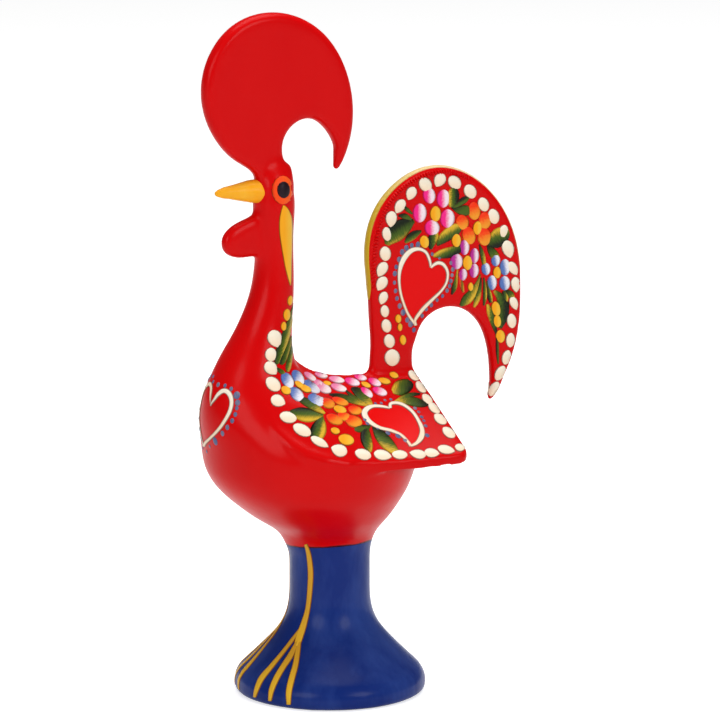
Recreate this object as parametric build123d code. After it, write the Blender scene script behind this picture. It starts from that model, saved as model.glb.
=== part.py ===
"""Painted clay cockerel on a bell foot, in millimetres.

The floor is Z = 0 and the axis of the foot is the Z axis. The bird looks
towards -X, so its left side is at -Y, and its middle plane is Y = 0. It is
built as a potter builds it: a thrown bell foot, a belly and neck pressed in
two half moulds, and slabs for comb, wattle, wings and tail, each let into
the body and luted with a coil of soft clay.
"""
from build123d import *
from math import sqrt
import os

# Foot: a bell thrown on the wheel, open below
foot_radius = 34.9
foot_height = 51.6
foot_rim_height = 5.2
foot_rim_rounding = 1.2
foot_wall = 5.0
waist_radius = 14.6
hollow_height = 33.0
spigot_radius = 8.5
spigot_height = 7.0
vent_radius = 2.5

# Body: belly, breast, neck and head in one hollow form
belly_rise = 40.4
belly_width = 38.5
breast_reach = 47.6
back_reach = 32.0
neck_rise = 68.0
neck_radius = 7.1
neck_forward = 22.5
head_rise = 23.0
head_radius = 7.5
crown_rise = 10.0
body_wall = 6.0
cavity_neck_radius = 3.0

# Wings: two slabs that meet over the back like a roof
ridge_rise = 24.0
wing_span = 41.6
wing_reach = 35.4
wing_drop = 23.8
wing_thickness = 4.4
wing_corner = 4.0
wing_edge_rounding = 1.6

# Tail: a slab with a hooked end, standing on the ridge
tail_front = 16.0
tail_length = 62.8
tail_stem_share = 0.2834
tail_height_share = 1.1783
tail_thickness_share = 0.0796
tail_rounding_share = 0.38
tail_tenon_depth = 8.0
tail_tenon_margin = 3.2

# Comb: a round slab with a hook over the nape
comb_radius = 30.6
comb_rise = 57.0
comb_forward = -20.8
comb_thickness = 6.6
comb_edge_rounding = 2.8
comb_stem = 12.8
comb_tenon_depth = 6.0
comb_tenon_margin = 2.2

# Beak: a rolled cone with a round spigot
beak_length = 17.0
beak_radius = 4.4
beak_spigot_radius = 2.2
beak_spigot_length = 3.2
beak_above_eye = 3.8
mouth_groove = 0.5
mouth_angle = 14.0

# Wattle: a small rounded slab under the beak
wattle_reach = 13.9
wattle_height = 15.2
wattle_below_eye = 5.2
wattle_thickness = 5.6
wattle_edge_rounding = 2.3
wattle_tenon_depth = 2.4
wattle_tenon_margin = 1.6
wattle_tenon_inset = 3.2

# Luting coils, pressed round a joint and smoothed
comb_coil_height = 9.0
comb_coil_width = 0.5
tail_coil_height = 5.0
tail_coil_width = 3.0
waist_coil_depth = 2.2
waist_coil_height = 3.0

# Fit of a tenon in its slot, and how far a cutting tool overruns
seat_gap = 0.15
overrun = 2.0

# Heights above the floor, each from the one below it, and the sizes that follow the tail's length
belly_height = foot_height + belly_rise
neck_height = belly_height + neck_rise
head_height = neck_height + head_rise
crown_height = head_height + crown_rise
ridge_height = belly_height + ridge_rise
tail_stem = tail_length * tail_stem_share
tail_height = tail_length * tail_height_share
tail_thickness = tail_length * tail_thickness_share
tail_edge_rounding = tail_thickness * tail_rounding_share


def ellipse_section(height, front, rear, half_width):
    """A level ellipse from its front to its rear on the middle plane."""
    return Pos((front + rear) / 2, 0, height) * Ellipse((rear - front) / 2, half_width)


def between(low, high, share):
    return low + share * (high - low)


# Each row: share of the rise, then shares of the way from the lower to the
# upper key section for the front, the rear and the half width.
belly_row_shares = [
    (0.00, 0.00, 0.00, 0.00),
    (0.07, 0.05, 0.02, 0.04),
    (0.18, 0.12, 0.09, 0.13),
    (0.33, 0.37, 0.33, 0.40),
    (0.48, 0.62, 0.56, 0.64),
    (0.63, 0.82, 0.75, 0.83),
    (0.82, 0.96, 0.91, 0.96),
    (1.00, 1.00, 1.00, 1.00),
]
neck_row_shares = [
    (0.090, -0.07, 0.02, 0.10),
    (0.176, -0.13, 0.09, 0.26),
    (0.265, -0.12, 0.28, 0.45),
    (0.353, -0.04, 0.76, 0.67),
    (0.426, 0.08, 0.96, 0.79),
    (0.507, 0.24, 1.01, 0.85),
    (0.618, 0.50, 1.02, 0.92),
    (0.735, 0.74, 1.01, 0.96),
    (0.853, 0.91, 1.00, 0.98),
    (1.000, 1.00, 1.00, 1.00),
]

# Key sections of the body: height, front, rear, half width
waist_key = (foot_height, -waist_radius, waist_radius, waist_radius)
belly_key = (belly_height, -breast_reach, back_reach, belly_width)
neck_key = (neck_height, -neck_forward - neck_radius, neck_radius - neck_forward, neck_radius)
head_key = (head_height, -neck_forward - head_radius, head_radius - neck_forward, head_radius)
nape = neck_radius - neck_forward


def rows_between(low_key, high_key, rows):
    """Rows of lengths, each between the two key sections by its row of shares."""
    placed = []
    for row in rows:
        placed.append(tuple(between(low, high, share) for low, high, share in zip(low_key, high_key, row)))
    return placed


belly_rows = rows_between(waist_key, belly_key, belly_row_shares)
neck_rows = rows_between(belly_key, neck_key, neck_row_shares)


def body_form():
    """The whole outer form of belly, neck and head, without its slabs."""
    crown_share = 0.86
    brow_share = 0.55
    head_middle = (neck_height + head_height) / 2
    rows = belly_rows + neck_rows
    rows.append((head_middle, neck_key[1], neck_key[2], neck_radius))
    rows.append(head_key)
    for share, rise in ((crown_share, brow_share), (brow_share, 1)):
        reach = head_radius * share
        height = between(head_height, crown_height, rise)
        rows.append((height, -neck_forward - reach, reach - neck_forward, reach))
    return loft([ellipse_section(*row) for row in rows])


def body_cavity():
    """The hollow belly under the roof of the wings, with a narrowing throat up the neck."""
    roof_slope = wing_drop / wing_span
    top = ridge_height - wing_thickness - body_wall * sqrt(1 + roof_slope**2)
    mouth = (spigot_radius + vent_radius) / 2
    floor_key = (foot_height + spigot_height / 2, -mouth, mouth, mouth)
    wide_key = (top, body_wall - breast_reach, back_reach - body_wall, belly_width - body_wall)
    row_shares = [
        (0.16, 0.20, 0.22, 0.18),
        (0.36, 0.74, 0.76, 0.66),
        (0.54, 0.94, 0.94, 0.90),
        (0.70, 0.97, 0.92, 0.90),
        (0.84, 0.92, 0.76, 0.70),
        (0.94, 0.78, 0.42, 0.50),
    ]
    rows = [floor_key] + rows_between(floor_key, wide_key, row_shares)
    sections = []
    for height, front, rear, half_width in rows:
        under_roof = (top - height) / roof_slope
        sections.append(ellipse_section(height, front, rear, min(half_width, under_roof)))
    throat_shares = (0.70, 0.72)
    throat_bottom = between(foot_height, top, throat_shares[0])
    throat_top = between(belly_height, neck_height, throat_shares[1])
    throat = Pos(-neck_forward, 0, throat_bottom) * Cone(
        neck_radius, cavity_neck_radius, throat_top - throat_bottom,
        align=(Align.CENTER, Align.CENTER, Align.MIN))
    return loft(sections) + throat


def bell_profile(reach, rim, waist, top):
    """Half outline of the bell from its rim up to its straight waist."""
    shoulder_shares = (0.78, 0.18)
    hip_shares = (0.37, 0.44)
    lean_share = 0.35
    shoulder = (between(waist, reach, shoulder_shares[0]), between(rim, top, shoulder_shares[1]))
    hip = (between(waist, reach, hip_shares[0]), between(rim, top, hip_shares[1]))
    return Spline([(reach, 0, rim), (shoulder[0], 0, shoulder[1]), (hip[0], 0, hip[1]), (waist, 0, top)],
                  tangents=[(-lean_share, 0, 1), (0, 0, 1)])


def foot_solid():
    """The bell foot, hollow and open below, with its spigot and its vent hole."""
    waist_start_share = 0.70
    waist_start = between(foot_rim_height, foot_height, waist_start_share)
    outer = bell_profile(foot_radius, foot_rim_height, waist_radius, waist_start)
    outline = Polyline((foot_radius, 0, foot_rim_height), (foot_radius, 0, 0), (0, 0, 0),
                       (0, 0, foot_height + spigot_height), (spigot_radius, 0, foot_height + spigot_height),
                       (spigot_radius, 0, foot_height), (waist_radius, 0, foot_height),
                       (waist_radius, 0, waist_start))
    foot = revolve(make_face([outer, outline]), Axis.Z)
    foot = fillet(foot.edges().filter_by(GeomType.CIRCLE).group_by(Axis.Z)[0], foot_rim_rounding)
    inner_radius = foot_radius - foot_wall
    inner_waist = waist_radius - foot_wall
    inner = bell_profile(inner_radius, 0, inner_waist, hollow_height)
    inside = make_face([inner, Polyline((inner_radius, 0, 0), (0, 0, 0), (0, 0, hollow_height),
                                        (inner_waist, 0, hollow_height))])
    foot -= revolve(inside, Axis.Z)
    vent_length = foot_height + spigot_height - hollow_height + 2 * overrun
    vent = Pos(0, 0, hollow_height - overrun) * Cylinder(
        vent_radius, vent_length, align=(Align.CENTER, Align.CENTER, Align.MIN))
    return foot - vent


def shoulder_points():
    """Where the body's surface crosses the wings' front plane, from the middle outwards."""
    points = []
    rows = [row for row in neck_rows if row[0] < neck_height]
    below = belly_key
    for row in [belly_key] + rows:
        height, front, rear, half_width = row
        if rear <= nape:
            share = (below[2] - nape) / (below[2] - rear)
            points.append((0, between(below[0], height, share)))
            break
        offset = (nape - (front + rear) / 2) / ((rear - front) / 2)
        points.append((half_width * sqrt(1 - offset**2), height))
        below = row
    points.reverse()
    return points


def roof_stations():
    """The wings' upper face at four places along the back, a little longer and wider than the slabs."""
    front_points = shoulder_points()
    edge_width, edge_height = front_points[-1]
    reach_shares = (0.30, 0.62, 1.0)
    crown_shares = (0.36, 0.10, 0.0)
    stations = [(nape, front_points)]
    for reach_share, crown_share in zip(reach_shares, crown_shares):
        span = between(edge_width, wing_span, reach_share)
        ridge = between(ridge_height, front_points[0][1], crown_share**2)
        edge = between(edge_height, ridge_height - wing_drop, reach_share)
        points = []
        for width, height in front_points:
            share = width / edge_width
            bow = crown_share * (height - between(front_points[0][1], edge_height, share))
            points.append((span * share, between(ridge, edge, share) + bow))
        stations.append((between(nape, wing_reach, reach_share), points))
    stations.append((wing_reach + overrun, stations[-1][1]))
    for reach, points in stations:
        (inner_width, inner_height), (outer_width, outer_height) = points[-2:]
        fall = (inner_height - outer_height) / (outer_width - inner_width)
        points.append((outer_width + overrun, outer_height - fall * overrun))
    return stations


def roof_block(rise, drop):
    """The space over the left of the back, from drop below the roof's face up to rise above it."""
    sections = []
    for reach, points in roof_stations():
        low = [(reach, -width, height - drop) for width, height in points]
        if rise:
            side = low[-1][1]
            top = points[0][1] + rise
            upper = [Polyline(low[-1], (reach, side, top), (reach, 0, top), low[0])]
        else:
            high = [(reach, -width, height) for width, height in points]
            upper = [Line(low[-1], high[-1]), Spline(high), Line(high[0], low[0])]
        sections.append(make_face([Spline(low)] + upper))
    return loft(sections)


def wing_block():
    """Left wing slab, trimmed to its outline with a round rear corner and soft edges."""
    edge_width = shoulder_points()[-1][0]
    outline = Polyline((nape - overrun, -edge_width), (wing_reach, -wing_span), (wing_reach, overrun),
                       (nape - overrun, overrun), close=True)
    plan = make_face(outline)
    corner = min(plan.vertices(), key=lambda vertex: vertex.Y - vertex.X)
    plan = fillet(corner, wing_corner)
    wing = roof_block(0, wing_thickness) & extrude(plan, ridge_height * 2)
    rear_rims = [edge for edge in wing.edges().filter_by(GeomType.BSPLINE)
                 if edge.bounding_box().min.X > wing_reach - seat_gap]
    rear_rims = [edge for edge in rear_rims if edge.bounding_box().min.Y < -wing_corner]
    return fillet(max(rear_rims, key=lambda edge: edge.center().Z), wing_edge_rounding)


def slab(outline, thickness, rounding, keep_below):
    """A slab of clay upright on the middle plane, its edges rounded above keep_below."""
    block = extrude(make_face(outline), thickness / 2, dir=(0, 1, 0), both=True)
    rims = [edge for edge in block.edges() if abs(abs(edge.center().Y) - thickness / 2) < seat_gap]
    rims = [edge for edge in rims if edge.bounding_box().max.Z > keep_below]
    return fillet(rims, rounding)


def share_points(origin, scale, shares):
    """Points on the middle plane, from shares of a width and a height."""
    return [(origin[0] + scale[0] * along, 0, origin[1] + scale[1] * up) for along, up in shares]


def tail_block(bury):
    outer_shares = [(0, 0), (0.008, 0.189), (-0.011, 0.459), (-0.022, 0.595), (0.03, 0.786), (0.207, 0.943),
                    (0.398, 0.997), (0.637, 0.95), (0.852, 0.791), (0.973, 0.568), (1, 0.338), (0.97, 0.081),
                    (0.879, -0.104), (0.804, -0.193)]
    inner_shares = [(0.804, -0.193), (0.804, -0.068), (0.78, 0.081), (0.72, 0.196), (0.589, 0.278),
                    (0.435, 0.276), (0.334, 0.209), (0.293, 0.115)]
    inner_end_share = 0.10
    origin = (tail_front, ridge_height)
    scale = (tail_length, tail_height)
    outer = Spline(share_points(origin, scale, outer_shares))
    stem_rear = tail_front + tail_stem
    inner_end = (stem_rear, 0, ridge_height + tail_height * inner_end_share)
    inner = Spline(share_points(origin, scale, inner_shares) + [inner_end])
    foot_line = Polyline(inner_end, (stem_rear, 0, ridge_height - bury), (tail_front, 0, ridge_height - bury),
                         outer @ 0)
    return slab([outer, inner, foot_line], tail_thickness, tail_edge_rounding, ridge_height)


def comb_block(bury):
    outer_shares = [(-0.373, -0.83), (-0.549, -0.712), (-0.758, -0.51), (-0.964, -0.078), (-0.948, 0.379),
                    (-0.578, 0.876), (-0.042, 1), (0.56, 0.745), (0.93, 0.124), (0.964, -0.425),
                    (0.778, -0.905)]
    inner_shares = [(0.778, -0.905), (0.752, -0.657), (0.608, -0.405), (0.399, -0.278), (0.196, -0.327),
                    (0.052, -0.52), (0.059, -0.712)]
    origin = (comb_forward, crown_height + comb_rise - comb_radius)
    scale = (comb_radius, comb_radius)
    root = crown_height - bury
    front_root = (-neck_forward - comb_stem / 2, 0, root)
    rear_root = (comb_stem / 2 - neck_forward, 0, root)
    outer = Spline([front_root] + share_points(origin, scale, outer_shares))
    inner = Spline(share_points(origin, scale, inner_shares) + [rear_root])
    return slab([outer, inner, Line(rear_root, front_root)], comb_thickness, comb_edge_rounding, crown_height)


def beak_solid(form):
    """A rolled cone, its root cut to the head, with a round spigot behind it."""
    root = head_key[1] + beak_radius
    tip = head_key[1] - beak_length
    height = head_height + beak_above_eye
    profile_shares = [(0.0, 1.0), (0.45, 0.80), (0.80, 0.38), (1.0, 0.0)]
    tip_lean_share = 0.3
    mouth_end_share = 0.78
    profile = [(between(root, tip, along), 0, height + beak_radius * out) for along, out in profile_shares]
    curve = Spline(profile, tangents=[(-1, 0, 0), (-tip_lean_share, 0, -1)])
    axis_line = Polyline(profile[-1], (root, 0, height), profile[0])
    beak = revolve(make_face([curve, axis_line]), Axis((root, 0, height), (-1, 0, 0)))
    groove_end = between(tip, head_key[1], mouth_end_share)
    for side in (-1, 1):
        groove_middle = ((tip + groove_end) / 2, side * beak_radius, height - mouth_groove)
        beak -= Pos(*groove_middle) * Rotation(0, 0, side * mouth_angle) * Box(
            groove_end - tip, beak_radius, mouth_groove)
    return (beak - form) + beak_spigot(0)


def beak_spigot(gap):
    """The spigot, from just inside the beak's root into the head."""
    face = head_key[1] - beak_radius / 2
    end = head_key[1] + beak_spigot_length + gap
    return Pos(face, 0, head_height + beak_above_eye) * Rotation(0, 90, 0) * Cylinder(
        beak_spigot_radius + gap, end - face, align=(Align.CENTER, Align.CENTER, Align.MIN))


def wattle_solid(form):
    """A small slab, its root cut to the neck, with a tenon behind it."""
    outline_shares = [(-0.35, 0.02), (0.10, 0.0), (0.45, -0.10), (0.83, -0.29), (1.0, -0.56), (0.92, -0.84),
                      (0.62, -0.99), (0.20, -1.0), (-0.35, -0.96)]
    origin = (neck_key[1], head_height - wattle_below_eye)
    curve = Spline(share_points(origin, (-wattle_reach, wattle_height), outline_shares))
    face = make_face([curve, Line(curve @ 1, curve @ 0)])
    block = extrude(face, wattle_thickness / 2, dir=(0, 1, 0), both=True)
    rims = sorted(block.edges(), key=lambda edge: edge.length)[-2:]
    return (fillet(rims, wattle_edge_rounding) - form) + wattle_tenon(0)


def wattle_tenon(gap):
    face = neck_key[1] - wattle_tenon_depth / 2
    end = neck_key[1] + wattle_tenon_depth + gap
    size = (end - face, wattle_thickness - 2 * wattle_tenon_margin + 2 * gap,
            wattle_height - 2 * wattle_tenon_inset + 2 * gap)
    middle = head_height - wattle_below_eye - wattle_height / 2
    return Pos(face, 0, middle) * Box(*size, align=(Align.MIN, Align.CENTER, Align.CENTER))


def upright_tenon(middle, stem, thickness, margin, top, bottom, gap):
    """A tenon under a standing slab, set in by the margin on every side."""
    size = (stem - 2 * margin + 2 * gap, thickness - margin + 2 * gap, top - bottom + gap)
    return Pos(middle, 0, top) * Box(*size, align=(Align.CENTER, Align.CENTER, Align.MAX))


def tail_tenon(gap):
    middle = tail_front + tail_stem / 2
    top = ridge_height + tail_tenon_margin
    bottom = ridge_height - wing_thickness - tail_tenon_depth
    return upright_tenon(middle, tail_stem, tail_thickness, tail_tenon_margin, top, bottom, gap)


def comb_tenon(gap):
    top = crown_height
    bottom = top - comb_tenon_depth
    return upright_tenon(-neck_forward, comb_stem, comb_thickness, comb_tenon_margin, top, bottom, gap)


def tail_coil(tail, under):
    """Clay pressed round the tail's root and smoothed up its sides."""
    middle = tail_front + tail_stem / 2
    reach = (tail_stem + tail_coil_width) / 2
    low = ridge_height - tail_coil_width
    sections = []
    rise_shares = [(0.0, 1.0), (0.45, 0.42), (1.0, 0.0)]
    grip_share = 0.72
    for rise, swell in rise_shares:
        height = between(low, ridge_height + tail_coil_height, rise)
        sections.append(Pos(middle, 0, height) * Ellipse(
            reach + tail_coil_width * swell / 2, tail_thickness * grip_share + 2 * tail_coil_width * swell))
    coil = loft(sections) - tail
    for piece in under:
        coil -= piece
    return coil


def comb_coil(comb, form):
    """Clay pressed round the comb's root and smoothed into the head."""
    waist_shares = (0.47, 0.5, 0.3)
    low = head_height + beak_above_eye
    reach = comb_stem / 2 + comb_coil_width
    sections = [
        Pos(-neck_forward, 0, low) * Ellipse(head_radius, head_radius),
        Pos(-neck_forward, 0, between(low, low + comb_coil_height, waist_shares[0])) * Ellipse(
            between(head_radius, reach, waist_shares[1]),
            between(head_radius, comb_thickness / 2, waist_shares[2])),
        Pos(-neck_forward, 0, low + comb_coil_height) * Ellipse(reach, comb_thickness / 2 + comb_coil_width),
    ]
    return loft(sections) - form - comb


def waist_coil():
    """The ring of clay worked into the groove between foot and body."""
    ring = Pos(0, 0, foot_height) * Cylinder(waist_radius, waist_coil_height)
    return ring - Pos(0, 0, foot_height) * Cylinder(waist_radius - waist_coil_depth, waist_coil_height * 2)


def write(name, shape):
    """Keep one piece as its own file."""
    export_step(shape, os.path.join("parts", name + ".step"))


def build():
    """Shape every piece, cut the slots and write the files."""
    bury_share = 0.6
    os.makedirs("parts", exist_ok=True)
    form = body_form()
    roof_cut = roof_block(wing_thickness, wing_thickness)
    wing_left = wing_block()
    wing_right = mirror(wing_left, Plane.XZ)
    tail_bury = bury_share * tail_thickness * wing_drop / wing_span
    tail = tail_block(tail_bury) - wing_left - wing_right + tail_tenon(0)
    comb = comb_block(comb_tenon_depth) - form + comb_tenon(0)
    comb_root = comb_coil(comb, form)
    beak = beak_solid(form) - comb - comb_root
    wattle = wattle_solid(form)
    coil = waist_coil()
    foot = foot_solid() - coil

    right_side = Pos(0, belly_width, 0) * Box(4 * breast_reach, 2 * belly_width, 3 * crown_height)
    body_right = (form & right_side) - body_cavity() - mirror(roof_cut, Plane.XZ)
    slots = [tail_tenon(seat_gap), comb_tenon(seat_gap), beak_spigot(seat_gap), wattle_tenon(seat_gap), coil]
    slots.append(Cylinder(spigot_radius + seat_gap, 2 * (foot_height + spigot_height + seat_gap)))
    for slot in slots:
        body_right -= slot
    body_left = mirror(body_right, Plane.XZ)

    tail_slot = tail_tenon(seat_gap)
    write("foot", foot)
    write("waist_coil", coil)
    write("body_left", body_left)
    write("body_right", body_right)
    write("wing_left", wing_left - tail_slot)
    write("wing_right", wing_right - tail_slot)
    write("tail", tail)
    write("tail_coil", tail_coil(tail, [wing_left, wing_right, body_left, body_right]))
    write("comb", comb)
    write("comb_coil", comb_root)
    write("beak", beak)
    write("wattle", wattle)


build()
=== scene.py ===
import math

import bmesh
import bpy
from mathutils import Matrix, Vector
from mathutils.bvhtree import BVHTree


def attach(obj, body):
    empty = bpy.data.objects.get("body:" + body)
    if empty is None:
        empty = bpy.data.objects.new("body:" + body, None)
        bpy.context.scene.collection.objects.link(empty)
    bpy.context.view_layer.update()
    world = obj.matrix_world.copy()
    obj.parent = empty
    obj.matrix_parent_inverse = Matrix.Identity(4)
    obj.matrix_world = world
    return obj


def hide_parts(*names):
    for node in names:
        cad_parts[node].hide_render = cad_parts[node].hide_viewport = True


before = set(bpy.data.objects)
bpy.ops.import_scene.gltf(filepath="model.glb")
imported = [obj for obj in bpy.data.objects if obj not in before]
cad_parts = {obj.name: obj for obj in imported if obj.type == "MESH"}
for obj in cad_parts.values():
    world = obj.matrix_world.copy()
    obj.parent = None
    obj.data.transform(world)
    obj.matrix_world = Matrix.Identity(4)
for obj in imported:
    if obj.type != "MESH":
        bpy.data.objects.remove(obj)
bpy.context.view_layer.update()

# The view of the bird from its front left, a little above it, as the photograph
# has it. Painted marks are placed by where they stand in that picture, so the
# sight line through a picture point is found here first.
camera_place = Vector((-0.9389, -1.7659, 0.530))
camera_aim = Vector((0.00966, -0.00514, 0.12212))
picture_side = 720
lens_data = bpy.data.cameras.new("view")
lens_data.sensor_width = 36.0
lens_data.lens = 283.07
lens_data.clip_start = 0.05
lens_data.clip_end = 20.0


def in_scene(name, data):
    """An object of the data, linked to the scene."""
    thing = bpy.data.objects.new(name, data)
    bpy.context.scene.collection.objects.link(thing)
    return thing


camera = in_scene("view", lens_data)
camera_turn = (camera_aim - camera_place).to_track_quat("-Z", "Y")
camera.matrix_world = Matrix.Translation(camera_place) @ camera_turn.to_matrix().to_4x4()
bpy.context.scene.camera = camera
mirrored, from_the_front = "mirrored", "from_the_front"
both_sides = (None, mirrored)
picture_step = 0.000355


def sight(point, side):
    """Start and direction of the sight line through a picture point.

    On the far side it is the mirror image in the bird's middle plane. From the front the
    point is given as steps to the bird's right and up, level with the table.
    """
    if side == from_the_front:
        return Vector((-0.2, point[0] * picture_step, point[1] * picture_step)), Vector((1, 0, 0))
    across = (point[0] - picture_side / 2) / picture_side * lens_data.sensor_width
    up = (picture_side / 2 - point[1]) / picture_side * lens_data.sensor_width
    start = camera_place.copy()
    direction = (camera_turn @ Vector((across, up, -lens_data.lens))).normalized()
    if side == mirrored:
        start.y, direction.y = -start.y, -direction.y
    return start, direction


# A white table top under one large soft lamp overhead, one at the left and one
# in front, in a dim white room. The table shows white and keeps the shadow of
# the foot.
bpy.context.scene.view_settings.view_transform = "Standard"
room = bpy.data.worlds.new("room")
room.use_nodes = True
room.node_tree.nodes["Background"].inputs["Color"].default_value = (1, 1, 1, 1)
room.node_tree.nodes["Background"].inputs["Strength"].default_value = 0.20
bpy.context.scene.world = room
lamp_aim = Vector((0, 0, 0.12))


def soft_lamp(name, place, size, power):
    data = bpy.data.lights.new(name, "AREA")
    data.shape = "DISK"
    data.size = size
    data.energy = power
    lamp = in_scene(name, data)
    turn = (lamp_aim - Vector(place)).to_track_quat("-Z", "Y")
    lamp.matrix_world = Matrix.Translation(place) @ turn.to_matrix().to_4x4()


soft_lamp("lamp_overhead", (0.15, 0.1, 1.5), 1.3, 16)
soft_lamp("lamp_left", (-1.7, -1.0, 0.9), 1.1, 12)
soft_lamp("lamp_front", (0.5, -2.2, 1.1), 1.1, 17)


def filled(node, values):
    """The node, with values in some of its inputs."""
    for socket, value in values.items():
        node.inputs[socket].default_value = value
    return node


def added(tree, kind, values=None, **settings):
    """A new node with its settings and values, of a shader kind unless the kind names another."""
    node = tree.nodes.new(kind if "Node" in kind else "ShaderNode" + kind)
    for setting, value in settings.items():
        setattr(node, setting, value)
    return filled(node, values or {})


def wired(tree, joins):
    """Joins of a node, its output if it isn't the first, another node and its input."""
    for start, *output, end, socket in joins:
        tree.links.new(start.outputs[output[0] if output else 0], end.inputs[socket])


def new_group(name, kind, inputs, outputs):
    """An empty node group with its sockets, from rows of name, kind and value."""
    group = bpy.data.node_groups.new(name, kind)
    for in_out, rows in (("INPUT", inputs), ("OUTPUT", outputs)):
        for label, holds, value in rows:
            socket = group.interface.new_socket(label, in_out=in_out, socket_type="NodeSocket" + holds)
            if value is not None:
                socket.default_value = value
    return group


table_mesh = bpy.data.meshes.new("table_top")
table_half = 9.0
table_mesh.from_pydata(
    [(-table_half, -table_half, 0), (table_half, -table_half, 0),
     (table_half, table_half, 0), (-table_half, table_half, 0)], [], [(0, 1, 2, 3)])
table_top = in_scene("table_top", table_mesh)
table_paint = bpy.data.materials.new("table_white")
table_paint.use_nodes = True
tree = table_paint.node_tree
tree.nodes.clear()
table_out = added(tree, "OutputMaterial")
table_matt = added(tree, "BsdfDiffuse", {"Color": (0.88, 0.88, 0.88, 1)})
table_glow = added(tree, "Emission", {"Color": (1, 1, 1, 1), "Strength": 0.64})
ray_kind = added(tree, "LightPath")
seen = added(tree, "Math", operation="MAXIMUM")
seen_too = added(tree, "Math", operation="MAXIMUM")
shown = added(tree, "AddShader")
pick = added(tree, "MixShader")
wired(tree, [
    (ray_kind, "Is Camera Ray", seen, 0), (ray_kind, "Is Glossy Ray", seen, 1), (seen, seen_too, 0),
    (ray_kind, "Is Transmission Ray", seen_too, 1), (table_matt, shown, 0), (table_glow, shown, 1),
    (seen_too, pick, 0), (table_matt, pick, 1), (shown, pick, 2), (pick, table_out, "Surface"),
])
table_mesh.materials.append(table_paint)


# Varnish laid over brushed paint: faint streaks of colour, a slightly uneven
# surface and a gloss that changes a little from place to place. The red, blue,
# yellow and blue-grey paints share it.
def brushed_varnish():
    tree = new_group("brushed_varnish", "ShaderNodeTree", [
        ("Paint", "Color", (1, 1, 1, 1)), ("Thin paint", "Color", (1, 1, 1, 1)),
        ("Streak size", "Float", 60.0), ("Streak amount", "Float", 0.5), ("Gloss roughness", "Float", 0.25),
    ], [("Colour", "Color", None), ("Roughness", "Float", None), ("Height", "Float", None)])
    given = added(tree, "NodeGroupInput")
    result = added(tree, "NodeGroupOutput")
    place = added(tree, "TexCoord")
    stretch = added(tree, "Mapping", {"Scale": (1.0, 1.0, 0.35)})
    streaks = added(tree, "TexNoise", {"Detail": 5.0, "Roughness": 0.62})
    amount = added(tree, "Math", operation="MULTIPLY")
    spread = added(tree, "MapRange", {"From Min": 0.42, "From Max": 0.66})
    mix = added(tree, "Mix", data_type="RGBA")
    uneven = added(tree, "TexNoise", {"Scale": 420.0, "Detail": 3.0})
    waves = added(tree, "TexNoise", {"Scale": 95.0, "Detail": 1.0})
    add = added(tree, "Math", {1: 2.2}, operation="MULTIPLY_ADD")
    gloss = added(tree, "Math", {1: 0.12}, operation="MULTIPLY_ADD")
    wired(tree, [
        (place, "Object", stretch, "Vector"), (stretch, streaks, "Vector"),
        (given, "Streak size", streaks, "Scale"), (streaks, spread, "Value"), (spread, amount, 0),
        (given, "Streak amount", amount, 1), (amount, mix, "Factor"), (given, "Paint", mix, "A"),
        (given, "Thin paint", mix, "B"), (mix, "Result", result, "Colour"),
        (place, "Object", uneven, "Vector"), (place, "Object", waves, "Vector"), (waves, add, 0),
        (uneven, add, 2), (add, result, "Height"), (uneven, gloss, 0),
        (given, "Gloss roughness", gloss, 2), (gloss, result, "Roughness"),
    ])
    return tree


varnish = brushed_varnish()


def shade(red, green, blue):
    """A colour as it is named on a paint card, 0 to 255, turned into light."""
    light = []
    for part in (red, green, blue):
        part = part / 255
        light.append(part / 12.92 if part <= 0.04045 else ((part + 0.055) / 1.055) ** 2.4)
    return (*light, 1.0)


def varnished(name, paint, thin_paint, streak_size, streak_amount, gloss, unevenness):
    """A brushed and varnished paint, with its shader ready for more marks."""
    material = bpy.data.materials.new(name)
    material.use_nodes = True
    tree = material.node_tree
    shader = tree.nodes["Principled BSDF"]
    filled(shader, {"IOR": 1.40, "Specular IOR Level": 0.07, "Coat Weight": 0.10, "Coat Roughness": 0.18})
    brushed = added(tree, "Group", node_tree=varnish, name="brushed")
    filled(brushed, {"Paint": paint, "Thin paint": thin_paint, "Streak size": streak_size,
                     "Streak amount": streak_amount, "Gloss roughness": gloss})
    bump = added(tree, "Bump", {"Strength": unevenness, "Distance": 0.0002})
    wired(tree, [
        (brushed, "Colour", shader, "Base Color"), (brushed, "Roughness", shader, "Roughness"),
        (brushed, "Height", bump, "Height"), (bump, shader, "Normal"),
    ])
    return material


# The clay of the foot and the bird: a foot thrown on the wheel, two moulded
# halves, and slabs for wings, tail, comb and wattle. One skin of soft clay runs
# over the joints, and the coil at the root of the tail is smoothed away.
fine_grain = 0.0005
skin_grain = 0.00075
first_softening = 14
second_softening = 3
joint_softening = 40
rim_softening_reach = 0.002


def softened(piece, iterations, region=None):
    soften = piece.modifiers.new("soften", "SMOOTH")
    soften.factor = 0.5
    soften.iterations = iterations
    if region:
        soften.vertex_group = region


def evened(piece, grain):
    even = piece.modifiers.new("even", "REMESH")
    even.mode = "VOXEL"
    even.voxel_size = grain
    even.use_smooth_shade = True


def worked_mesh(piece, name):
    """A new mesh of the piece with its modifiers worked into it."""
    bpy.context.view_layer.update()
    data = bpy.data.meshes.new_from_object(piece.evaluated_get(bpy.context.evaluated_depsgraph_get()))
    data.name = name
    return data


def settled(piece):
    piece.data = worked_mesh(piece, piece.name)
    piece.modifiers.clear()


def mesh_data(mesh, name):
    """The data of a mesh that was being built, with smooth faces."""
    data = bpy.data.meshes.new(name)
    mesh.to_mesh(data)
    mesh.free()
    for face in data.polygons:
        face.use_smooth = True
    return data


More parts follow.
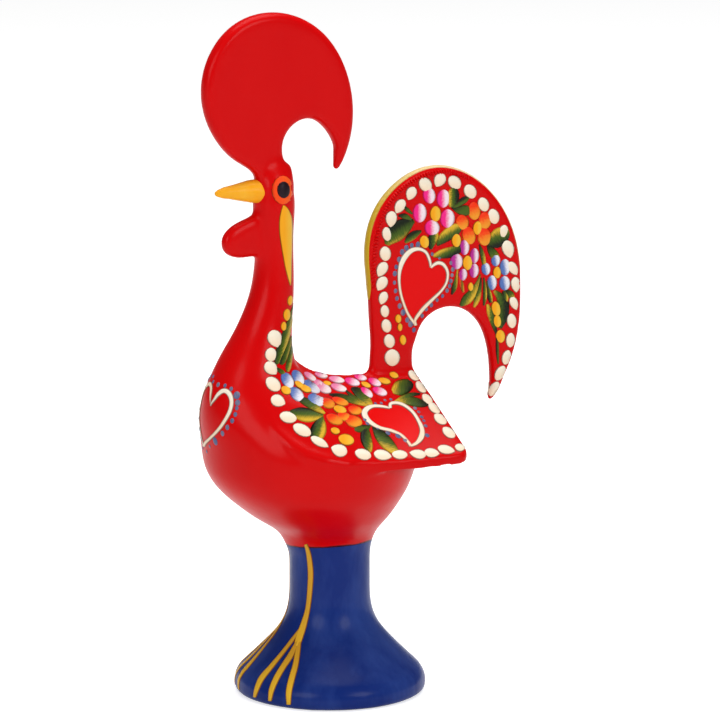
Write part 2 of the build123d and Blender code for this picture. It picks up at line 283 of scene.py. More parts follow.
def added_stroke(mesh, places):
    """A tapering roll of clay through places and radii."""
    for place, radius in places:
        bmesh.ops.create_icosphere(mesh, subdivisions=3, radius=radius, matrix=Matrix.Translation(place))
    for (low, low_radius), (high, high_radius) in zip(places[:-1], places[1:]):
        turn = (high - low).to_track_quat("Z", "Y").to_matrix().to_4x4()
        bmesh.ops.create_cone(mesh, cap_ends=True, segments=32, radius1=low_radius, radius2=high_radius,
                              depth=(high - low).length, matrix=Matrix.Translation((low + high) / 2) @ turn)


def in_middle(points):
    """Places in the middle plane for points of picture place and radius."""
    places = []
    for x, y, radius in points:
        start, direction = sight((x, y), None)
        places.append((start - direction * start.y / direction.y, radius))
    return places


def under_surface(points, node_names):
    """Places for points of picture place, radius and how far the roll stands out of the nodes' clay."""
    grounds = [BVHTree.FromObject(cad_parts[name], bpy.context.evaluated_depsgraph_get())
               for name in node_names]
    places = []
    for x, y, radius, stands_out in points:
        start, direction = sight((x, y), None)
        hits = [ground.ray_cast(start, direction) for ground in grounds]
        hit, facing, _, _ = min((hit for hit in hits if hit[0]), key=lambda found: found[3])
        places.append((hit - facing * (radius - stands_out), radius))
    return places


def joined_clay(name, node_names, plugs, rolls, joints):
    """One closed skin over several nodes, its edges and joints smoothed as soft clay."""
    mesh = bmesh.new()
    for node_name in node_names:
        mesh.from_mesh(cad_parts[node_name].data)
    for radius, low, high in plugs:
        bmesh.ops.create_cone(mesh, cap_ends=True, segments=48, radius1=radius, radius2=radius,
                              depth=high - low, matrix=Matrix.Translation((0, 0, (low + high) / 2)))
    for places in rolls:
        added_stroke(mesh, places)
    bmesh.ops.remove_doubles(mesh, verts=mesh.verts, dist=1e-6)
    piece = in_scene(name, mesh_data(mesh, name))
    evened(piece, fine_grain)
    softened(piece, first_softening)
    evened(piece, skin_grain)
    softened(piece, second_softening)
    settled(piece)
    keep_outer_shell(piece.data)
    soft_place = piece.vertex_groups.new(name="joints")
    for vertex in piece.data.vertices:
        weight = 0.0
        for place, reach in joints:
            away = (vertex.co - Vector(place)).length / reach
            weight = max(weight, min(1, 2 - 2 * away))
        if vertex.co.z < foot_rim[1]:
            weight = max(weight, min(1, (vertex.co.xy.length - foot_rim[0]) / rim_softening_reach))
        if weight > 0:
            soft_place.add([vertex.index], weight, "REPLACE")
    softened(piece, joint_softening, "joints")
    settled(piece)
    piece.vertex_groups.clear()
    return piece


def parted(whole, name, keep_above, material):
    """The clay above or below the line between red and blue paint, closed over the cut."""
    mesh = bmesh.new()
    mesh.from_mesh(whole.data)
    bmesh.ops.bisect_plane(mesh, geom=mesh.verts[:] + mesh.edges[:] + mesh.faces[:], dist=1e-7,
                           plane_co=paint_line, plane_no=paint_line_facing,
                           clear_inner=keep_above, clear_outer=not keep_above)
    bmesh.ops.holes_fill(mesh, edges=[edge for edge in mesh.edges if edge.is_boundary])
    data = mesh_data(mesh, name)
    for face in data.polygons:
        face.use_smooth = len(face.vertices) < least_cut_corners
    data.materials.append(material)
    piece = in_scene(name, data)
    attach(piece, "root")
    return piece


def keep_outer_shell(data):
    """Takes the hollows out of a mesh, so that its outermost closed surface is left."""
    mesh = bmesh.new()
    mesh.from_mesh(data)
    left = set(mesh.verts)
    shells = []
    while left:
        shell = [left.pop()]
        for vertex in shell:
            for edge in vertex.link_edges:
                other = edge.other_vert(vertex)
                if other in left:
                    left.remove(other)
                    shell.append(other)
        shells.append(shell)
    for shell in sorted(shells, key=len)[:-1]:
        bmesh.ops.delete(mesh, geom=shell, context="VERTS")
    mesh.to_mesh(data)
    mesh.free()


foot_nodes = ["foot", "waist_coil"]
bird_nodes = ["body_left", "body_right", "wing_left", "wing_right", "tail", "tail_coil", "comb",
              "comb_coil", "wattle"]
socket_plug = (0.012, 0.0505, 0.064)
comb_tip = [(336.0, 166.4, 0.0014), (338.0, 158.0, 0.0020), (339.6, 149.0, 0.0025)]
tail_tip = [(489.9, 396.6, 0.0013), (493.8, 387.5, 0.0020), (497.2, 377.0, 0.0023)]
tail_root = ((0.024, 0, 0.119), 0.019)
comb_root = ((-0.0225, 0, 0.1935), 0.012)
wattle_root = ((-0.0330, 0, 0.170), 0.014)
foot_joint = ((0, 0, 0.0516), 0.030)
wing_fold = [
    (272, 422, 0.0030, 0.0002), (280, 434, 0.0034, 0.0008), (292, 446, 0.0038, 0.0011),
    (308, 455, 0.0038, 0.0011), (328, 461, 0.0034, 0.0010), (350, 464, 0.0026, 0.0008),
]
wing_edge = [
    (350, 464.0, 0.0020, 0.0003), (372, 464.5, 0.0017, 0.0002), (392, 463.5, 0.0015, 0.0002),
    (412, 462.0, 0.0016, 0.0003), (436, 460.0, 0.0017, 0.0004), (456, 457.8, 0.0018, 0.0006),
    (463.5, 456.5, 0.0018, 0.0007),
]
wing_rolls = [under_surface(wing_fold, ["body_left", "wing_left"]),
              under_surface(wing_edge, ["wing_left", "body_left"])]
wing_rolls += [[(Vector((place.x, -place.y, place.z)), radius) for place, radius in roll]
               for roll in wing_rolls]
foot_rim = (0.0300, 0.0085)
paint_line = (0, 0, 0.0552)
paint_line_facing = Vector((-0.0127, 0.1004, 1.0))
least_cut_corners = 6
clay_joined = [name for name in foot_nodes + bird_nodes if name != "tail_coil"]
clay_rolls = [in_middle(comb_tip), in_middle(tail_tip), *wing_rolls]
clay = joined_clay("clay", clay_joined, [socket_plug], clay_rolls,
                   [tail_root, comb_root, wattle_root, foot_joint])
clay_ground = BVHTree.FromObject(clay, bpy.context.evaluated_depsgraph_get())

# The foot, brushed with two coats of ultramarine and varnished. The blue runs a
# little way up over the joint with the bird, to a line that isn't quite level.
foot_blue = varnished("foot_blue", shade(18, 44, 120), shade(52, 78, 152), 38.0, 0.75, 0.26, 0.35)
foot_clay = parted(clay, "foot_clay", False, foot_blue)
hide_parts(*foot_nodes)

# The bird above it, painted red, with a second coat inside the hearts. Where the
# red meets the blue, a thin dark edge of both paints is left.
bird_red = varnished("bird_red", shade(214, 1, 4), shade(220, 10, 10), 46.0, 0.35, 0.28, 0.30)
tree = bird_red.node_tree
place = added(tree, "TexCoord")
line_height = added(tree, "VectorMath", {1: paint_line_facing}, operation="DOT_PRODUCT")
ragged = added(tree, "TexNoise", {"Scale": 180.0})
ragged_height = added(tree, "Math", {1: 0.0009}, operation="MULTIPLY_ADD")
under_edge = added(tree, "MapRange", {"From Min": 0.05595, "From Max": 0.05640})
edge_shade = added(tree, "Mix", {"A": shade(58, 14, 24)}, data_type="RGBA")
second_coat = added(tree, "Attribute", attribute_name="heart_coat")
coats = added(tree, "Mix", {"B": shade(234, 6, 8)}, data_type="RGBA")
wired(tree, [
    (place, "Object", line_height, 0), (place, "Object", ragged, "Vector"), (ragged, ragged_height, 0),
    (line_height, "Value", ragged_height, 2), (ragged_height, under_edge, "Value"),
    (under_edge, edge_shade, "Factor"), (second_coat, "Fac", coats, "Factor"),
    (tree.nodes["brushed"], "Colour", coats, "A"), (coats, "Result", edge_shade, "B"),
    (edge_shade, "Result", tree.nodes["Principled BSDF"], "Base Color"),
])
bird_skin = parted(clay, "bird_skin", True, bird_red)
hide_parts(*bird_nodes)
bpy.data.objects.remove(clay)

# The beak: a rolled cone of clay with a rounded tip, let into the head and
# painted warm yellow.
beak_yellow = varnished("beak_yellow", shade(255, 172, 26), shade(255, 200, 70), 120.0, 0.5, 0.28, 0.3)
beak_roll = [
    (215.6, 194.0, 0.0017), (220.6, 193.2, 0.0023), (228.0, 192.6, 0.0028), (240.0, 192.0, 0.0036),
    (252.0, 191.6, 0.0044), (259.0, 191.4, 0.0047),
]
beak_clay = joined_clay("beak_clay", ["beak"], [], [in_middle(beak_roll)], [])
beak_clay.data.materials.append(beak_yellow)
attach(beak_clay, "root")
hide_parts("beak")

# The brush marks: each dot, petal, leaf and line is one touch of a loaded brush,
# a thin raised skin of paint that lies on the clay and carries two colours that
# run into each other. All but the breast heart is on both sides of the bird.
paint_height = 0.00024
brush_spread = 1.2
rim_width = 1.5
paint_sink = 0.00025
clay_step = 0.006
brush_section = ((-1, 0.1), (-0.66, 0.9), (0, 1), (0.66, 0.9), (1, 0.1))
thin_rise = 0.3
hair_length = 4
hair_shift = 0.37


def landing(point, side, distance=None):
    """Where a picture point lies on the clay, the way the clay faces there, and its distance."""
    start, direction = sight(point, side)
    hit, facing, _, reach = clay_ground.ray_cast(start, direction)
    if distance and (hit is None or abs(reach - distance) > clay_step):
        hit, facing, _, _ = clay_ground.find_nearest(start + direction * distance)
        reach = distance
    return hit, facing, reach


def enlarged(points, part):
    """Points of an enlarged part of the picture, back at the picture's own size."""
    x, y, scale = part
    return [(x + point[0] / scale, y + point[1] / scale, *[size / scale for size in point[2:]])
            for point in points]


def smooth_line(points, count):
    """A smooth run of samples through listed points, each with any number of values."""
    ends = [[2 * a - b for a, b in zip(points[0], points[1])]] + [list(p) for p in points]
    ends.append([2 * a - b for a, b in zip(points[-1], points[-2])])
    samples = []
    for step in range(count):
        at = step / (count - 1) * (len(points) - 1)
        leg = min(int(at), len(points) - 2)
        t = at - leg
        a, b, c, d = ends[leg:leg + 4]
        samples.append([0.5 * (2 * q + (r - p) * t + (2 * p - 5 * q + 4 * r - s) * t * t
                               + (3 * q - p - 3 * r + s) * t ** 3) for p, q, r, s in zip(a, b, c, d)])
    return samples


# samples along the touch, its widest place, and how blunt its start and its end are
dab_kinds = {"dot": (9, 0.5, 0.5, 0.5), "drop": (9, 0.42, 0.5, 0.72), "petal": (11, 0.5, 0.5, 0.5)}
whole_picture = (0, 0, 1)


class Marks:
    """Paint marks of one colour family, gathered into one closed mesh."""

    def __init__(self, name, material, slot):
        self.name, self.material, self.slot = name, material, slot
        self.mesh = bmesh.new()
        layers = self.mesh.verts.layers
        self.layers = [layers.float_color.new(layer) for layer in ("tone_a", "tone_b")]
        self.layers += [layers.float.new(layer) for layer in ("blend", "rim", "along", "across")]

    def vertex(self, place, tones, *numbers):
        """A corner with its two colours, and its blend, rim, along and across."""
        vertex = self.mesh.verts.new(place)
        for layer, value in zip(self.layers, (*tones, *numbers)):
            vertex[layer] = value
        return vertex

    def skin(self, rows, flip=False):
        """Faces round rows of six corners each, and over both ends."""
        turn = -1 if flip else 1
        for low, high in zip(rows[:-1], rows[1:]):
            for at in range(6):
                after = (at + 1) % 6
                self.mesh.faces.new((low[at], low[after], high[after], high[at])[::turn])
        self.mesh.faces.new(rows[0][::-turn])
        self.mesh.faces.new(rows[-1][::turn])

    def ribbon(self, samples, tones, shade_turn, height, side):
        """A run of paint along samples of picture place and width."""
        half = len(samples) // 2
        near = landing(samples[half][:2], side)[2]
        if near is None:
            return
        xs, ys, widths = zip(*samples)
        centre = ((min(xs) + max(xs)) / 2, (min(ys) + max(ys)) / 2)
        widest = max(widths)
        lean = (math.cos(math.radians(shade_turn)), math.sin(math.radians(shade_turn)))
        reach = max(abs((x - centre[0]) * lean[0] + (y - centre[1]) * lean[1]) + w / 3 for x, y, w in samples)
        found = {}
        for order in (range(half, len(samples)), range(half - 1, -1, -1)):
            distance = near
            for number in order:
                distance = found[number] = landing(samples[number][:2], side, distance)[2]
        rows = []
        for number, (x, y, width) in enumerate(samples):
            before = samples[max(number - 1, 0)]
            after = samples[min(number + 1, len(samples) - 1)]
            run = math.hypot(after[0] - before[0], after[1] - before[1]) or 1
            sideways = ((before[1] - after[1]) / run, (after[0] - before[0]) / run)
            along = number / (len(samples) - 1) * hair_length
            row = []
            for across, lift in brush_section:
                px = x + sideways[0] * across * width / 2
                py = y + sideways[1] * across * width / 2
                hit, facing, _ = landing((px, py), side, found[number])
                blend = 0.5 + ((px - centre[0]) * lean[0] + (py - centre[1]) * lean[1]) / reach / 2
                rise = paint_height * height * lift * min(1, thin_rise + width / widest)
                # How near the corner lies to the touch's edge, for its dark rim of paint edge and painted
                # shade.
                rim = 1 - (1 - abs(across)) * width / 2 / rim_width
                row.append(self.vertex(hit + facing * rise, tones, blend, rim, along,
                                       across + x * hair_shift))
            hit, facing, _ = landing((x, y), side, found[number])
            row.append(self.vertex(hit - facing * paint_sink, tones, 0.5, 0, along, 0))
            rows.append(row)
        self.skin(rows, side is not None)

    def dab(self, touch, part, tones, shade_turn, height, kind="dot"):
        """One touch of the brush on each side of the bird, of the call's kind unless it has its own."""
        *place, turn, kind = (*touch, kind)[:6]
        count, widest, start_power, end_power = dab_kinds[kind]
        x, y, length, width = enlarged([place], part)[0]
        length, width = length + brush_spread, width + brush_spread
        turn = math.radians(turn)
        samples = []
        for step in range(count):
            share = (1 - math.cos(math.pi * step / (count - 1))) / 2
            if share < widest:
                size = (1 - (1 - share / widest) ** 2) ** start_power
            else:
                size = (1 - (1 - (1 - share) / (1 - widest)) ** 2) ** end_power
            slide = (share - 0.5) * length
            samples.append((x + math.cos(turn) * slide, y + math.sin(turn) * slide, max(size, 0.04) * width))
        for side in both_sides:
            self.ribbon(samples, tones, shade_turn, height, side)

    def line(self, points, part, tones, shade_turn, height, count, spread=0.6, sides=both_sides):
        """A line drawn through points of picture place and width."""
        samples = smooth_line(enlarged(points, part), count)
        for side in sides:
            self.ribbon([(x, y, max(width, 0) + spread) for x, y, width in samples], tones, shade_turn,
                        height, side)

    def done(self):
        bmesh.ops.recalc_face_normals(self.mesh, faces=self.mesh.faces)
        piece = in_scene(self.name, mesh_data(self.mesh, self.name))
        piece.data.materials.append(self.material)
        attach(piece, "root")


def loaded_brush(name, roughness, rim_edge_and_shade, streaks, middle=None):
    """Paint with two colours side by side on the brush, varnished over, darkened at its rim by its own edge
    and by painted shade.
    """
    material = bpy.data.materials.new(name)
    material.use_nodes = True
    tree = material.node_tree
    shader = tree.nodes["Principled BSDF"]
    filled(shader, {"Roughness": roughness, "IOR": 1.40, "Specular IOR Level": 0.2})
    read = {}
    for layer in ("tone_a", "tone_b", "blend", "rim", "along", "across"):
        read[layer] = added(tree, "Attribute", attribute_name=layer)

    def ramp(low, high, top=1.0):
        return added(tree, "MapRange", {"From Min": low, "From Max": high, "To Max": top},
                     interpolation_type="SMOOTHSTEP")

    low, high = (0.54, 0.98) if middle else (0.22, 0.80)
    level = ramp(low + streaks / 2, high + streaks / 2)
    first_level = ramp(0.08 + streaks / 2, 0.60 + streaks / 2, 1.0 if middle else 0.0)
    # Each touch turns dark red towards its rim: partly the paint's own thin edge, partly a painted shade
    # where the dome of paint meets the clay.
    edge = ramp(0.1, 0.9, rim_edge_and_shade)
    hairs_place = added(tree, "CombineXYZ")
    hairs = added(tree, "TexNoise", {"Scale": 3.4, "Detail": 4.0})
    jitter = added(tree, "Math", {1: streaks}, operation="MULTIPLY_ADD")
    two = added(tree, "Mix", data_type="RGBA")
    first = added(tree, "Mix", {"B": middle or (0, 0, 0, 1)}, data_type="RGBA")
    finish = added(tree, "Mix", {"B": shade(112, 16, 10)}, data_type="RGBA")
    bump = added(tree, "Bump", {"Strength": 0.25, "Distance": 0.0002})
    wired(tree, [
        (read["along"], "Fac", hairs_place, "X"), (read["across"], "Fac", hairs_place, "Y"),
        (hairs_place, hairs, "Vector"), (hairs, jitter, 0), (read["blend"], "Fac", jitter, 2),
        (jitter, level, "Value"), (level, two, "Factor"), (jitter, first_level, "Value"),
        (first_level, first, "Factor"), (read["tone_a"], "Color", first, "A"),
        (first, "Result", two, "A"), (read["tone_b"], "Color", two, "B"),
        (read["rim"], "Fac", edge, "Value"), (edge, finish, "Factor"), (two, "Result", finish, "A"),
        (finish, "Result", shader, "Base Color"), (hairs, bump, "Height"), (bump, shader, "Normal"),
    ])
    return material


thick_paint = loaded_brush("thick_paint", 0.40, 0.85, 0.10)
petal_brush = loaded_brush("petal_brush", 0.38, 0.45, 0.45)
leaf_brush = loaded_brush("leaf_brush", 0.40, 0.35, 0.60, shade(72, 98, 26))

cream = (shade(255, 244, 222), shade(255, 232, 202))
sun_yellow = (shade(253, 172, 28), shade(252, 196, 60))
pink = (shade(250, 40, 140), shade(255, 236, 244))
pale_pink = (shade(240, 130, 175), shade(255, 238, 236))
orange = (shade(252, 58, 20), shade(250, 158, 44))
sky_blue = (shade(88, 118, 186), shade(243, 242, 250))
violet = (shade(186, 44, 148), shade(252, 230, 240))
green = (shade(18, 28, 12), shade(228, 184, 52))
dark_green = (shade(16, 20, 14), shade(72, 96, 30))
gold_edge = (shade(204, 172, 42), shade(250, 222, 176))
ochre = (shade(240, 188, 48), shade(216, 162, 44))

# The two eyes: a round of orange with a black round on it, and below each the
# long yellow drop of the cheek.
head_part = (200, 120, 9.225)
eye_marks = Marks("eyes_and_cheeks", thick_paint, "yellow_glaze")
pupil_marks = Marks("pupils", thick_paint, "dark_paint")
cheek_line = [
    (770, 788, 18), (782, 830, 70), (790, 900, 112), (792, 970, 124), (795, 1060, 120), (802, 1180, 98),
    (812, 1330, 66), (824, 1440, 38), (834, 1525, 10),
]
eye_orange = (shade(255, 78, 24), shade(255, 96, 34))
pupil_black = (shade(33, 20, 30), shade(24, 15, 24))
eye_marks.dab((282.9, 190.1, 27.6, 22.0, 90), whole_picture, eye_orange, 0, 1.2)
pupil_marks.dab((283.4, 189.9, 15.8, 12.8, 90), whole_picture, pupil_black, 0, 2.4)
eye_marks.line(cheek_line, head_part, sun_yellow, 0, 1.1, 26)
eye_marks.done()
pupil_marks.done()

# The neck: long dark leaves with a lit edge that hang down its side, and three
# yellow dots above them.
neck_part = (255, 280, 13.07)
neck_green = (shade(34, 46, 16), shade(206, 178, 60))
neck_leaves = Marks("neck_leaves", leaf_brush, "leaf_paint")
neck_dots = Marks("neck_dots", thick_paint, "gold_paint")
neck_leaf_lines = [
    [(508, 300, 10), (470, 480, 60), (410, 700, 105), (345, 890, 120), (300, 1010, 110), (280, 1100, 40)],
    [(478, 730, 12), (440, 860, 62), (395, 970, 90), (355, 1060, 85), (345, 1108, 30)],
    [(486, 740, 10), (468, 900, 50), (450, 1040, 70), (432, 1150, 66), (428, 1200, 24)],
    [(275, 1150, 20), (325, 1185, 52), (370, 1220, 50), (410, 1262, 16)],
]
neck_yellow_dots = [(457, 268, 120, 62, 96), (417, 455, 145, 90, 92), (375, 605, 105, 72, 92)]
for points in neck_leaf_lines[::-1]:
    neck_leaves.line(points, neck_part, neck_green, 15, 1.0, 14)
for touch in neck_yellow_dots:
    neck_dots.dab(touch, neck_part, sun_yellow, 0, 1.0)
neck_leaves.done()
neck_dots.done()

# The border of the back: fat cream dots set side by side from the neck round
# the edge of each wing.
border_dots = Marks("back_border_dots", thick_paint, "cream_paint")
neck_border = [
    (262, 770, 225, 190, 70, "drop"), (208, 975, 165, 155, 90), (210, 1155, 190, 165, 50, "drop"),
    (237, 1362, 215, 165, 45),
]
wing_part = (250, 340, 6.817)
wing_border = [
    (192, 415, 98, 82, 25, "drop"), (260, 527, 112, 78, 15), (355, 614, 128, 78, 28),
    (475, 696, 132, 58, 30, "drop"), (606, 752, 108, 84, 200, "drop"), (770, 780, 108, 72, 18),
    (905, 785, 118, 70, 12, "drop"), (1020, 782, 100, 62, 5), (1142, 778, 108, 62, 190, "drop"),
    (1240, 770, 98, 62, 8, "drop"), (1338, 748, 114, 60, 12, "drop"), (1430, 733, 62, 50, 10),
    (1355, 632, 96, 62, 38), (1297, 540, 94, 62, 38), (1255, 465, 92, 56, 42), (1208, 405, 84, 54, 46),
    (1165, 322, 88, 56, 50), (1115, 243, 84, 54, 45),
]
for part, border in ((neck_part, neck_border), (wing_part, wing_border)):
    for touch in border:
        border_dots.dab(touch, part, cream, 90, 1.3)
border_dots.done()

# The flowers of the wings: five or six round petals to a flower, laid with a
# brush that held two colours side by side, with yellow dots and leaves between.
def flowers(name, part, leaf_lines, leaf_steps, petal_places, yellow_places):
    leaves = Marks(name + "_leaves", leaf_brush, "leaf_paint")
    petals = Marks(name + "_petals", petal_brush, "petal_paint")
    yellow = Marks(name + "_yellow_dots", thick_paint, "gold_paint")
    for turn, points, *tones in leaf_lines:
        leaves.line(points, part, tones[0] if tones else green, turn, 1.0, leaf_steps)
    for tones, turn, flower in petal_places:
        for touch in flower:
            petals.dab(touch, part, tones, turn, 1.2, "petal")
    for touch in yellow_places:
        yellow.dab(touch, part, sun_yellow, 0, 1.5)
    for marks in (leaves, petals, yellow):
        marks.done()


wing_petal_places = [
    (sky_blue, 20, [(327, 256, 110, 66, 55), (255, 275, 112, 72, 58), (422, 318, 124, 62, 38),
        (318, 370, 112, 72, 45), (452, 408, 116, 80, 25)]),
    (pale_pink, 25, [(410, 250, 92, 38, 35), (485, 240, 84, 34, 15), (500, 325, 112, 62, 30),
        (590, 270, 102, 42, 12), (605, 325, 108, 46, 18), (470, 300, 80, 44, 35)]),
    (pink, 20, [(697, 285, 100, 48, 18), (753, 255, 80, 38, 15), (850, 287, 88, 46, 25),
        (795, 358, 92, 48, 38), (885, 350, 98, 50, 22)]),
    (orange, 60, [(615, 418, 110, 52, 20), (530, 430, 92, 66, 25), (715, 478, 90, 60, 15),
        (575, 540, 112, 66, 25), (705, 553, 116, 78, 20), (640, 520, 84, 60, 20)]),
]
wing_yellow_places = [
    (335, 305, 66, 40, 35), (378, 332, 80, 46, 25), (245, 343, 66, 56, 30), (525, 297, 52, 30, 15),
    (790, 307, 66, 34, 25), (915, 280, 82, 42, 15), (980, 240, 58, 42, 25), (612, 475, 86, 52, 18),
    (580, 620, 58, 44, 20), (655, 680, 102, 74, 15),
]
wing_leaf_lines = [
    (60, [(305, 378, 10), (360, 410, 46), (430, 450, 54), (490, 488, 26), (512, 500, 8)]),
    (90, [(272, 486, 16), (330, 500, 82), (400, 515, 92), (460, 520, 50), (500, 512, 12)]),
    (20, [(490, 520, 16), (478, 570, 80), (465, 620, 108), (448, 665, 84), (435, 690, 26)]),
    (60, [(540, 370, 8), (610, 385, 40), (690, 408, 44), (760, 435, 24), (800, 448, 8)]),
    (40, [(640, 330, 6), (680, 370, 20), (740, 415, 24), (800, 450, 10)]),
    (60, [(690, 328, 14), (730, 350, 60), (770, 385, 74), (810, 425, 46), (835, 452, 12)]),
    (190, [(970, 352, 30), (1005, 335, 96), (1050, 318, 104), (1090, 300, 72), (1105, 290, 26)]),
    (170, [(985, 420, 8), (1040, 396, 30), (1100, 374, 30), (1160, 368, 10)]),
    (170, [(985, 425, 10), (1050, 412, 46), (1120, 422, 62), (1180, 436, 46), (1220, 440, 12)]),
    (10, [(820, 585, 10), (790, 610, 50), (790, 670, 74), (810, 730, 56), (822, 765, 14)]),
    (90, [(712, 610, 14), (745, 606, 50), (790, 596, 34), (815, 588, 10)], dark_green),
    (110, [(838, 590, 14), (880, 640, 72), (930, 700, 84), (980, 750, 60), (1012, 778, 16)]),
]
flowers("wing", wing_part, wing_leaf_lines, 12, wing_petal_places, wing_yellow_places)

# The tail: cream dots round its edge, flowers and leaves over its crown and
# down into its hook.
tail_part = (350, 150, 6.03)
tail_dots = Marks("tail_border_dots", thick_paint, "cream_paint")
tail_border = [
    (254, 1252, 96, 92, 90), (237, 1152, 78, 66, 80), (219, 1060, 76, 60, 80), (209, 972, 68, 52, 85),
    (199, 893, 76, 54, 110, "drop"), (190, 806, 88, 66, 120, "drop"), (192, 720, 92, 64, 118, "drop"),
    (212, 625, 82, 68, 85), (222, 507, 80, 56, 80), (248, 417, 92, 68, 95, "drop"),
    (300, 340, 88, 62, 120, "drop"), (368, 262, 80, 62, 115, "drop"), (454, 208, 86, 74, 60),
    (540, 182, 82, 70, 120, "drop"), (630, 195, 84, 72, 50), (724, 250, 84, 72, 60),
    (804, 328, 82, 64, 70), (865, 400, 86, 68, 75), (925, 492, 76, 52, 100, "drop"),
    (953, 598, 104, 72, 75, "drop"), (982, 714, 84, 56, 60, "drop"), (998, 812, 88, 54, 85, "drop"),
    (988, 924, 80, 48, 70, "drop"), (974, 1030, 82, 56, 85), (967, 1146, 82, 52, 95),
    (943, 1250, 84, 52, 105), (905, 1345, 92, 56, 118), (868, 1440, 92, 52, 120),
]
tail_petal_places = [
    (pink, 0, [(477, 273, 92, 70, 80), (563, 293, 102, 76, 95), (420, 380, 108, 78, 92),
        (587, 413, 106, 84, 95), (495, 470, 88, 86, 80)]),
    (orange, 70, [(748, 367, 102, 74, 85), (812, 425, 96, 76, 90), (676, 435, 84, 76, 80),
        (716, 515, 102, 78, 75), (810, 522, 102, 82, 85)]),
    (violet, 0, [(690, 587, 84, 54, 90), (750, 637, 84, 50, 92), (642, 672, 88, 72, 90),
        (747, 727, 80, 54, 95), (680, 752, 66, 48, 100)]),
    (sky_blue, -10, [(878, 665, 66, 50, 95), (934, 707, 92, 60, 92), (819, 717, 68, 50, 85),
        (856, 800, 82, 54, 92), (932, 803, 80, 62, 90)]),
]
tail_yellow_places = [
    (515, 385, 88, 64, 90), (768, 470, 76, 52, 95), (708, 680, 82, 58, 90), (886, 738, 66, 46, 90),
    (448, 553, 70, 58, 80), (641, 545, 75, 56, 90), (727, 825, 46, 32, 90), (880, 957, 84, 54, 80),
    (887, 1032, 68, 48, 85), (906, 1123, 72, 56, 85), (290, 1017, 46, 36, 85), (300, 1068, 42, 28, 90),
    (318, 1145, 54, 38, 85),
]
tail_leaf_lines = [
    (40, [(325, 335, 6), (345, 360, 22), (375, 385, 8)], dark_green),
    (60, [(292, 395, 10), (330, 400, 34), (370, 420, 14)], dark_green),
    (60, [(222, 572, 24), (245, 530, 88), (290, 486, 112), (340, 450, 84), (385, 425, 20)]),
    (60, [(332, 560, 10), (360, 530, 44), (395, 505, 40), (430, 488, 10)]),
    (180, [(610, 345, 20), (618, 310, 62), (624, 265, 70), (632, 225, 30)]),
    (60, [(620, 350, 8), (650, 328, 30), (690, 300, 38), (716, 284, 14)], dark_green),
    (60, [(612, 345, 10), (660, 362, 48), (700, 365, 62), (745, 370, 18)], dark_green),
    (0, [(488, 600, 12), (490, 560, 50), (508, 515, 54), (515, 482, 18)]),
    (240, [(525, 575, 12), (560, 535, 58), (610, 495, 74), (650, 470, 60), (675, 460, 20)]),
    (240, [(500, 638, 12), (550, 628, 52), (610, 616, 62), (655, 600, 46), (682, 596, 12)]),
    (250, [(838, 580, 20), (870, 555, 88), (905, 520, 106), (935, 490, 74), (948, 475, 24)]),
    (60, [(828, 575, 10), (850, 605, 42), (875, 640, 50), (892, 668, 18)]),
    (0, [(780, 570, 6), (795, 620, 24), (806, 670, 26), (810, 712, 8)]),
    (30, [(665, 938, 16), (700, 905, 58), (735, 868, 54), (770, 800, 20), (785, 750, 6)]),
    (30, [(748, 948, 12), (766, 900, 34), (780, 840, 24), (790, 770, 6)]),
    (0, [(806, 938, 8), (814, 880, 24), (812, 820, 18), (806, 770, 6)]),
    (0, [(612, 872, 8), (628, 830, 30), (640, 780, 18), (648, 720, 5)]),
    (0, [(684, 858, 8), (672, 815, 26), (662, 770, 14), (660, 735, 5)], orange),
    (350, [(850, 920, 18), (842, 880, 30), (832, 830, 14), (826, 790, 5)]),
    (180, [(905, 1075, 16), (925, 1010, 52), (925, 930, 66), (900, 880, 44), (868, 850, 14)]),
    (180, [(885, 1115, 10), (866, 1050, 30), (845, 980, 38), (828, 930, 12)]),
    (0, [(944, 918, 10), (938, 885, 34), (925, 850, 16)]),
    (40, [(990, 898, 14), (965, 870, 42), (935, 845, 14)]),
    (0, [(893, 1290, 5), (889, 1220, 16), (887, 1150, 14), (886, 1110, 6)], dark_green),
]
for touch in tail_border:
    tail_dots.dab(touch, tail_part, cream, 90, 1.3)
tail_dots.done()
flowers("tail", tail_part, tail_leaf_lines, 11, tail_petal_places, tail_yellow_places)

# The hearts on tail, wings and breast: each drawn in cream with two sweeps of
# the brush from the notch to the point.
heart_lines = Marks("heart_outlines", thick_paint, "cream_paint")
tail_heart = [
    [(487, 708, 8), (478, 660, 12), (455, 615, 14), (410, 596, 18), (360, 612, 26), (318, 665, 28),
        (298, 730, 18), (296, 800, 11), (306, 870, 11), (326, 935, 11), (352, 995, 12), (395, 1055, 14)],
    [(487, 708, 10), (507, 690, 14), (535, 680, 18), (566, 694, 16), (588, 740, 12), (580, 800, 10),
        (548, 850, 11), (494, 903, 15), (442, 955, 18), (405, 1002, 16), (390, 1030, 12), (395, 1057, 14)],
]
wing_heart = [
    [(955, 465, 8), (900, 454, 14), (840, 452, 18), (795, 472, 32), (780, 506, 36), (812, 556, 26),
        (880, 598, 18), (960, 618, 16), (1028, 648, 14), (1070, 688, 14), (1095, 722, 16)],
    [(955, 465, 18), (958, 436, 18), (1000, 430, 16), (1050, 446, 16), (1105, 488, 16), (1146, 548, 18),
        (1172, 610, 26), (1168, 660, 34), (1140, 700, 22), (1110, 718, 14), (1095, 722, 10)],
]
outlined_hearts = ((tail_heart, tail_part), (wing_heart, wing_part))
for halves, part in outlined_hearts:
    for points in halves:
        heart_lines.line(points, part, cream, 90, 1.2, 40, 1.6)
breast_part = (193, 375, 12.0)
breast_half = [
    (212, 372, 4), (232, 330, 18), (262, 290, 26), (305, 232, 40), (365, 190, 52), (420, 208, 56),
    (455, 265, 52), (464, 340, 46), (445, 430, 44), (400, 520, 40), (335, 620, 38), (262, 705, 34),
    (190, 775, 32), (150, 815, 34), (132, 855, 30),
]
